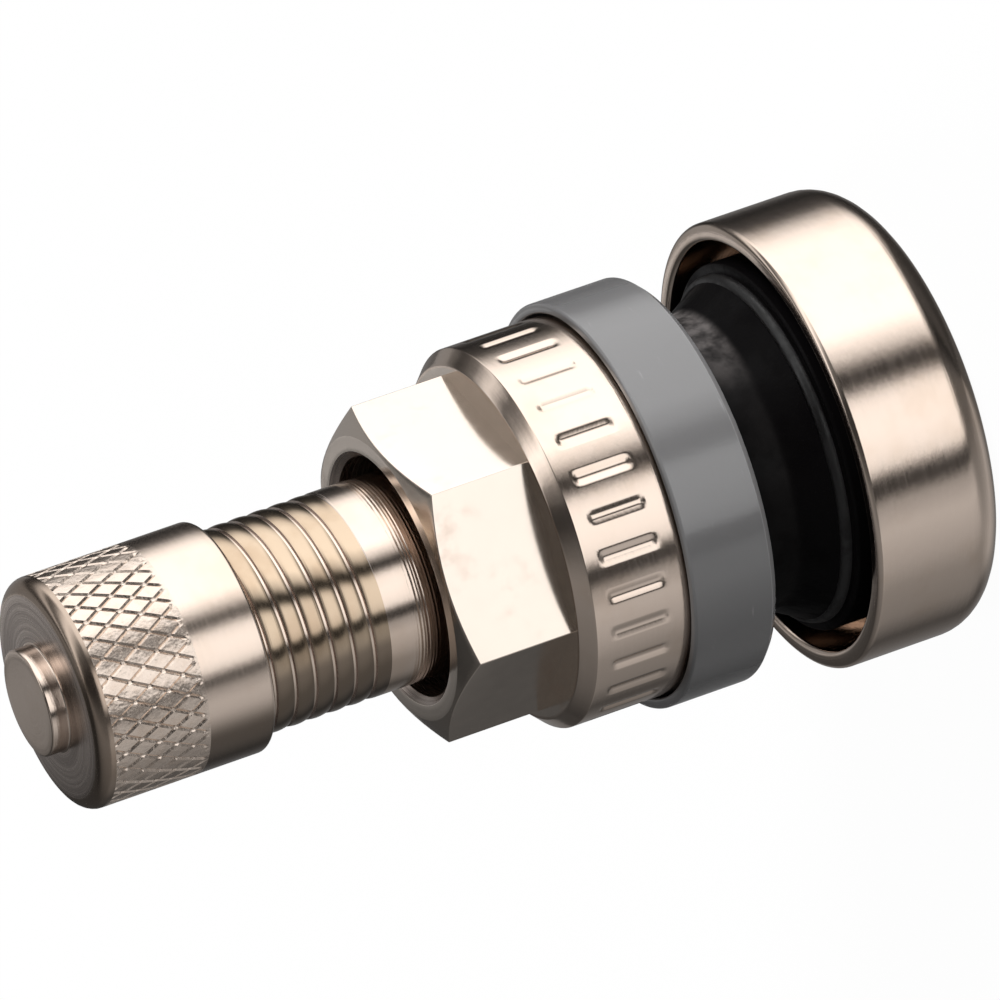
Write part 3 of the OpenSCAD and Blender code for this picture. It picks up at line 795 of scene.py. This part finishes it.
def make_nut():
    columns = BAR_COUNT * BAR_COLUMNS
    finishes = [PLATE, FLATS, FACED]
    bm = bmesh.new()
    collar = rounded([
        (NUT_BORE_R, HEX_FOOT_Z, 0), (NUT_BORE_R, NUT_Z + NUT_MOUTH_SINK, 0.03),
        (NUT_BORE_R + NUT_MOUTH_SINK, NUT_Z, 0.03), (COLLAR_R, NUT_Z, 0.15),
        (COLLAR_R, COLLAR_TOP_Z - COLLAR_BEVEL, 0.06), (COLLAR_R - COLLAR_BEVEL, COLLAR_TOP_Z, 0.06),
        (COLLAR_R - COLLAR_BEVEL - LEDGE_LAND, COLLAR_TOP_Z, 0)])
    lathe(bm, spread(collar, gap=0.12), columns, offset=bar_offset)
    ledge = [collar[-1], (LEDGE_INNER_R, COLLAR_TOP_Z), collar[0]]
    lathe(bm, ledge, columns, finishes.index(FLATS))
    angles = hex_angles()
    sections = [spread(hex_section(angle), parts=HEX_PARTS) for angle in angles]
    rows = []
    for points in zip(*sections):
        rows.append([place(bm, r, angle, z) for (r, z), angle in zip(points, angles)])
    skin(bm, rows[:MOUTH_ROWS + 1], finishes.index(FACED))
    skin(bm, rows[MOUTH_ROWS:] + rows[:1], finishes.index(FLATS))
    piece = finish_mesh(bm, "plated_nut", finishes)
    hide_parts("clamp_nut")
    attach(piece, "nut")


# Cap: plain band, diamond knurl, rounded crown edge and a nub
KNURL_STEPS = 16
KNURL_ROWS = 90
KNURL_COLUMNS = KNURL_STARTS * KNURL_STEPS
KNURL_FOOT_FADE = 0.3
KNURL_TOP_FADE = 0.06
GROOVE_SHAPE = (1.0, 0.5)


def knurl(bm, radius, z_low, z_high, material):
    """Diamonds between two families of grooves, on a lattice whose every other row is half a step on."""
    rows = []
    for i in range(KNURL_ROWS + 1):
        z = z_low + (z_high - z_low) * i / KNURL_ROWS
        fade = smooth_step((z - z_low) / KNURL_FOOT_FADE) * smooth_step((z_high - z) / KNURL_TOP_FADE)
        row = []
        for j in range(KNURL_COLUMNS):
            around = 2 * j + i % 2
            rising = stroke((around + i) // 2, KNURL_STEPS, GROOVE_SHAPE)
            falling = stroke((around - i) // 2, KNURL_STEPS, GROOVE_SHAPE)
            r = radius - KNURL_GROOVE_DEPTH * min(1, rising + falling) * fade
            row.append(place(bm, r, math.pi * around / KNURL_COLUMNS, z))
        rows.append(row)
    for i in range(KNURL_ROWS - 1):
        low, middle, high = rows[i], rows[i + 1], rows[i + 2]
        for j in range(KNURL_COLUMNS):
            left = j - 1 + i % 2
            right = (left + 1) % KNURL_COLUMNS
            bm.faces.new((low[j], middle[right], high[j], middle[left])).material_index = material
    for near, far in ((rows[0], rows[1]), (rows[-1], rows[-2])):
        for j in range(KNURL_COLUMNS):
            after = (j + 1) % KNURL_COLUMNS
            bm.faces.new((near[j], near[after], far[j])).material_index = material


def make_cap():
    bm = bmesh.new()
    finishes = [BAND, KNURL, FACED, CROWN, PLATE]
    nub_foot_r = NUB_R + NUB_FOOT_R
    lower = rounded([
        (0, CAP_BORE_TOP_Z, 0), (CAP_BORE_R, CAP_BORE_TOP_Z, EDGE), (CAP_BORE_R, CAP_Z, EDGE),
        (CAP_R, CAP_Z, 0.2), (CAP_R, KNURL_Z, 0)])
    lathe(bm, spread(lower, gap=0.5), KNURL_COLUMNS)
    knurl(bm, CAP_R, KNURL_Z, KNURL_TOP_Z, finishes.index(KNURL))
    upper = rounded([
        (CAP_R, KNURL_TOP_Z, 0), (CAP_R, CROWN_EDGE_Z, CROWN_EDGE_R), (nub_foot_r, CROWN_Z, 0)], steps=8)
    lathe(bm, upper[:-1], KNURL_COLUMNS, finishes.index(CROWN))
    lathe(bm, spread(upper[-2:], gap=0.35), KNURL_COLUMNS, finishes.index(FACED))
    nub = rounded([
        (nub_foot_r, CROWN_Z, 0), (NUB_R, CROWN_Z, 0.07), (NUB_R, NUB_TOP_Z, 0.07),
        (0, NUB_TOP_Z, 0)], steps=5)
    lathe(bm, spread(nub, gap=0.35), KNURL_COLUMNS, finishes.index(PLATE))
    piece = finish_mesh(bm, "knurled_cap", finishes, sharp_degrees=25)
    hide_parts("valve_cap")
    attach(piece, "cap")


# Core pieces and the cap's gasket keep their own shapes and take a finer finish
CORE_FINISHES = {
    "cap_gasket": RUBBER, "core_plug": BRASS, "core_barrel": BRASS, "core_gasket": RED, "core_pin": BRASS,
    "core_cup": BRASS, "core_washer": RUBBER,
}


def dress_core():
    for node, material in CORE_FINISHES.items():
        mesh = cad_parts[node].data
        if not mesh.materials:
            mesh.materials.append(material)
        for k in range(len(mesh.materials)):
            mesh.materials[k] = material


def make_spring():
    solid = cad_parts["core_spring"]
    piece = bpy.data.objects.new("wire_spring", solid.data.copy())
    piece.matrix_world = solid.matrix_world
    piece.data.materials.clear()
    piece.data.materials.append(WIRE)
    bpy.context.collection.objects.link(piece)
    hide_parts("core_spring")
    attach(piece, "stem")
    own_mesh(piece)


# Camera: its place in metres, the way its sides point, and its lens in millimetres
CAMERA_PLACE = (0.07542, -0.49765, 0.19863)
CAMERA_RIGHT = (-0.2759, -0.3673, -0.8883)
CAMERA_UP = (0.9512, 0.0286, -0.3073)
CAMERA_BACK = (0.1383, -0.9298, 0.3414)
CAMERA_LENS = 535.5
CAMERA_SENSOR = 36.0
CAMERA_AZIMUTH = math.radians(8.46)
TOWARDS_CAMERA = (math.sin(CAMERA_AZIMUTH), -math.cos(CAMERA_AZIMUTH), 0)
ACROSS_CAMERA = (math.cos(CAMERA_AZIMUTH), math.sin(CAMERA_AZIMUTH), 0)

# Floor: half its width and its drop below the valve in metres, its grey, and how much of it glows
FLOOR_HALF_WIDTH = 4.0
FLOOR_DROP = 0.0001
FLOOR_GREY = (0.82, 0.82, 0.82, 1)
FLOOR_GLOW = 0.97
WHITE = (1, 1, 1, 1)

# Brightness of the studio that the metal shows, by degrees from the camera towards the upper side
LOW_WALLS = [
    (-180, 0.24), (-168, 0.18), (-138, 0.06), (-118, 0.20), (-95, 0.25), (-80, 0.39), (-60, 0.53),
    (-46, 0.36), (-41.5, 0.05), (-34.5, 0.02), (-31.5, 0.20), (-28, 0.95), (-20, 1.16), (-8, 1.24),
    (3, 1.20), (7.5, 1.0), (10, 0.55), (12.5, 0.18), (15, 0.04), (20, 0.02), (23, 0.16), (30, 0.90),
    (42, 1.60), (98, 1.50), (110, 1.20), (121, 0.50), (127, 0.12), (134, 0.05), (150, 0.02), (158, 0.05),
    (166, 0.14), (180, 0.18),
]
HIGH_WALLS = [
    (-180, 0.04), (-150, 0.03), (-139, 0.065), (-127, 0.11), (-115, 0.14), (-101, 0.17), (-84, 0.20),
    (-64, 0.23), (-36, 0.11), (-12, 0.04), (10, 0.04), (35, 0.2), (50, 1.0), (63, 1.5), (74, 1.0),
    (84, 0.32), (101, 0.08), (115, 0.95), (127, 0.16), (139, 0.04), (150, 0.2), (160, 0.3), (180, 0.1),
]
GROUND = [
    (-180, 0.08), (-166, 0.16), (-159, 0.27), (-127, 0.42), (-108, 0.34), (-86, 0.27), (-61, 0.22),
    (-33, 0.13), (0, 0.13), (20, 0.04), (32, 0.02), (61, 0.06), (80, 0.06), (90, 0.06), (107, 0.05),
    (127, 0.04), (158, 0.04), (167, 0.08), (180, 0.08),
]
WALL_PEAK = 1.6
FILL_LEVEL = 0.15

# Slopes at which the high walls and the ground start and take over, as the height of a unit direction
HIGH_SLOPES = (-0.02, 0.2)
GROUND_SLOPES = (-0.55, -0.78)

# Reflector card behind the valve: sizes in metres, and its level by millimetres across within a reach
CARD_AWAY = 0.06
CARD_HALF_WIDTH = 0.045
CARD_FOOT_Z = 0.016
CARD_TOP_Z = 0.080
CARD_REACH = 10
CARD_LEVELS = [
    (-10, 0.05), (-8, 0.06), (-5, 0.12), (-3, 0.17), (-1, 0.22), (1, 0.25), (2.6, 0.17), (3.4, 0.12),
    (3.9, 0.16), (4.4, 0.42), (5.2, 0.42), (5.7, 0.26), (7.2, 0.28), (7.8, 0.60), (9, 0.60), (9.6, 0.26),
]

# Lamps: name, place and width in metres, and power; all of them face one place
LAMPS = [
    ("key_lamp", (0.32, -0.19, 0.16), 0.16, 2.75),
    ("front_lamp", (0.02, -0.42, 0.20), 0.10, 0.25),
    ("back_lamp", (-0.10, 0.40, 0.20), 0.16, 1.6),
]
LAMP_AIM = (0, 0, 0.017)


def make_camera():
    data = bpy.data.cameras.new("camera")
    data.lens = CAMERA_LENS
    data.sensor_width = CAMERA_SENSOR
    camera = bpy.data.objects.new("camera", data)
    turn = Matrix((CAMERA_RIGHT, CAMERA_UP, CAMERA_BACK)).transposed()
    camera.matrix_world = Matrix.Translation(CAMERA_PLACE) @ turn.to_4x4()
    bpy.context.collection.objects.link(camera)
    bpy.context.scene.camera = camera


def make_sheet(name, half_width, half_height, material):
    """A flat four-cornered sheet about its own middle."""
    bm = bmesh.new()
    bmesh.ops.create_grid(bm, x_segments=1, y_segments=1, size=1)
    bmesh.ops.scale(bm, vec=(half_width, half_height, 1), verts=bm.verts)
    mesh = bpy.data.meshes.new(name)
    bm.to_mesh(mesh)
    bm.free()
    mesh.materials.append(material)
    sheet = bpy.data.objects.new(name, mesh)
    bpy.context.collection.objects.link(sheet)
    return sheet


def empty_material(name):
    """A material with no nodes yet."""
    material = bpy.data.materials.new(name)
    material.use_nodes = True
    material.node_tree.nodes.clear()
    return material


def make_floor():
    material = empty_material("pale_floor")
    tree = material.node_tree
    seen = add_node(tree, "ShaderNodeLightPath", output="Is Camera Ray")
    pale = add_node(tree, "ShaderNodeBsdfDiffuse", None, {"Color": FLOOR_GREY})
    glow = add_node(tree, "ShaderNodeEmission", None, {"Color": WHITE, "Strength": 1.0})
    mixed = add_node(tree, "ShaderNodeMixShader", None, {0: seen * FLOOR_GLOW, 1: pale, 2: glow})
    add_node(tree, "ShaderNodeOutputMaterial", None, {"Surface": mixed})
    floor = make_sheet("floor", FLOOR_HALF_WIDTH, FLOOR_HALF_WIDTH, material)
    floor.location.z = cad_low.z - FLOOR_DROP
    floor.visible_glossy = False


def walls(tree, bearing, levels):
    """Brightness of the studio by bearing, from a list of degrees and levels."""
    stops = [((degrees + 180) / 360, level / WALL_PEAK) for degrees, level in levels]
    ramp = add_node(tree, "ShaderNodeValToRGB", {"stops": stops}, {0: bearing})
    return add_node(tree, "ShaderNodeSeparateColor", None, {0: ramp}) * WALL_PEAK


def make_world():
    """White to the camera, an even fill to dull surfaces, and the studio's walls to shiny ones."""
    world = bpy.data.worlds.new("studio")
    world.use_nodes = True
    world.cycles.sampling_method = "NONE"
    bpy.context.scene.world = world
    tree = world.node_tree
    tree.nodes.clear()
    direction = add_node(tree, "ShaderNodeTexCoord", output="Generated")
    ahead, aside = [
        add_node(tree, "ShaderNodeVectorMath", {"operation": "DOT_PRODUCT"}, {0: direction, 1: way}, "Value")
        for way in (TOWARDS_CAMERA, ACROSS_CAMERA)]
    height = add_node(tree, "ShaderNodeSeparateXYZ", None, {0: direction}, output="Z")
    bearing = aside.math("ARCTAN2", aside, ahead) / (2 * math.pi) + 0.5
    raised = step_between(height, *HIGH_SLOPES)
    around = walls(tree, bearing, LOW_WALLS) * (1 - raised) + walls(tree, bearing, HIGH_WALLS) * raised
    below = step_between(height, *GROUND_SLOPES)
    shown = around * (1 - below) + walls(tree, bearing, GROUND) * below
    fill, mirror, white = [
        add_node(tree, "ShaderNodeBackground", None, {"Color": WHITE, "Strength": strength})
        for strength in (FILL_LEVEL, shown, 1.0)]
    glossy = add_node(tree, "ShaderNodeLightPath", output="Is Glossy Ray")
    camera = add_node(tree, "ShaderNodeLightPath", output="Is Camera Ray")
    soft = add_node(tree, "ShaderNodeMixShader", None, {0: glossy, 1: fill, 2: mirror})
    mixed = add_node(tree, "ShaderNodeMixShader", None, {0: camera, 1: soft, 2: white})
    add_node(tree, "ShaderNodeOutputWorld", None, {"Surface": mixed})


def make_card():
    """Reflector card behind the valve, dark on one side and pale on the other, for the faces that look up."""
    material = empty_material("card_paint")
    material.cycles.emission_sampling = "NONE"
    tree = material.node_tree
    where = add_node(tree, "ShaderNodeTexCoord", output="Object")
    across = add_node(tree, "ShaderNodeSeparateXYZ", None, {0: where}) / (2 * CARD_REACH * MM) + 0.5
    stops = [((x + CARD_REACH) / (2 * CARD_REACH), level) for x, level in CARD_LEVELS]
    paint = add_node(tree, "ShaderNodeValToRGB", {"stops": stops}, {0: across})
    glow = add_node(tree, "ShaderNodeEmission", None, {"Color": paint, "Strength": 1.0})
    add_node(tree, "ShaderNodeOutputMaterial", None, {"Surface": glow})
    card = make_sheet("card", CARD_HALF_WIDTH, (CARD_TOP_Z - CARD_FOOT_Z) / 2, material)
    turn = Matrix((ACROSS_CAMERA, (0, 0, 1), TOWARDS_CAMERA)).transposed()
    middle = Vector(TOWARDS_CAMERA) * -CARD_AWAY + Vector((0, 0, (CARD_TOP_Z + CARD_FOOT_Z) / 2))
    card.matrix_world = Matrix.Translation(middle) @ turn.to_4x4()
    card.visible_camera = False
    card.visible_diffuse = False
    card.visible_transmission = False
    card.visible_shadow = False


def make_lamp(name, place_at, size, power):
    """A soft lamp that faces the middle of the valve; the metal shows the studio's walls instead of it."""
    data = bpy.data.lights.new(name, "AREA")
    data.shape = "DISK"
    data.size = size
    data.energy = power
    lamp = bpy.data.objects.new(name, data)
    lamp.location = place_at
    aim = Vector(LAMP_AIM) - Vector(place_at)
    lamp.rotation_euler = aim.to_track_quat("-Z", "Y").to_euler()
    lamp.visible_glossy = False
    bpy.context.collection.objects.link(lamp)


make_stem()
make_seal()
make_ring()
make_nut()
make_cap()
dress_core()
make_spring()
make_camera()
make_floor()
make_world()
make_card()
for settings in LAMPS:
    make_lamp(*settings)

bpy.context.scene.view_settings.view_transform = "Standard"
